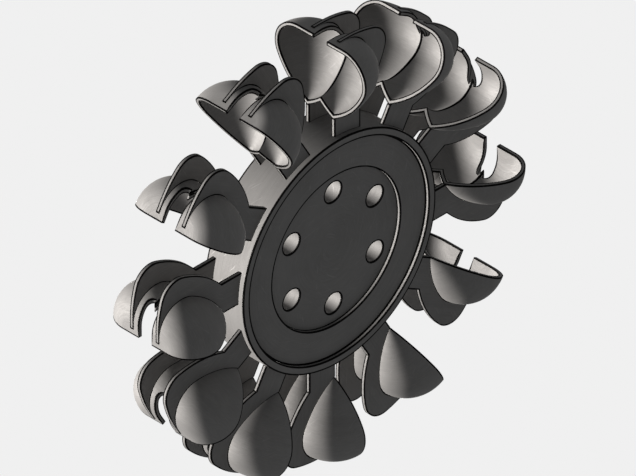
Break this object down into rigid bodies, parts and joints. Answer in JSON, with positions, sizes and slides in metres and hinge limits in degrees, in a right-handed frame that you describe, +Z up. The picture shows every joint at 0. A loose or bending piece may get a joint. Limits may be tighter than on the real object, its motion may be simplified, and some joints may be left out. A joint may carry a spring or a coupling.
{
  "type": "pelton wheel",
  "caption": "Pelton turbine runner: a recessed hub disc with bolt holes carries a ring of notched double cups on rib-backed arm plates.",
  "frame": {"origin": "centre of the flat seat sunk in the hub's back face, where the shaft's flange bolts on", "axes": "+Y along the wheel's axis, out of the back seat towards the shaft; +Z up; the front face looks along -Y, with +X on the right"},
  "size_m": [0.546, 0.141, 0.546],
  "materials": {
    "hub_steel": "machined, dark",
    "cup_steel": "ground and polished, dark",
    "plate_steel": "ground, dark"
  },
  "bodies": {
    "root": {"hub": "hub_steel", "bucket_01_cup": "cup_steel", "bucket_01_front_arm": "plate_steel", "bucket_01_back_arm": "plate_steel", "bucket_02_cup": "cup_steel", "bucket_02_front_arm": "plate_steel", "bucket_02_back_arm": "plate_steel", "bucket_03_cup": "cup_steel", "bucket_03_front_arm": "plate_steel", "bucket_03_back_arm": "plate_steel", "bucket_04_cup": "cup_steel", "bucket_04_front_arm": "plate_steel", "bucket_04_back_arm": "plate_steel", "bucket_05_cup": "cup_steel", "bucket_05_front_arm": "plate_steel", "bucket_05_back_arm": "plate_steel", "bucket_06_cup": "cup_steel", "bucket_06_front_arm": "plate_steel", "bucket_06_back_arm": "plate_steel", "bucket_07_cup": "cup_steel", "bucket_07_front_arm": "plate_steel", "bucket_07_back_arm": "plate_steel", "bucket_08_cup": "cup_steel", "bucket_08_front_arm": "plate_steel", "bucket_08_back_arm": "plate_steel", "bucket_09_cup": "cup_steel", "bucket_09_front_arm": "plate_steel", "bucket_09_back_arm": "plate_steel", "bucket_10_cup": "cup_steel", "bucket_10_front_arm": "plate_steel", "bucket_10_back_arm": "plate_steel", "bucket_11_cup": "cup_steel", "bucket_11_front_arm": "plate_steel", "bucket_11_back_arm": "plate_steel", "bucket_12_cup": "cup_steel", "bucket_12_front_arm": "plate_steel", "bucket_12_back_arm": "plate_steel"}
  },
  "joints": []
}
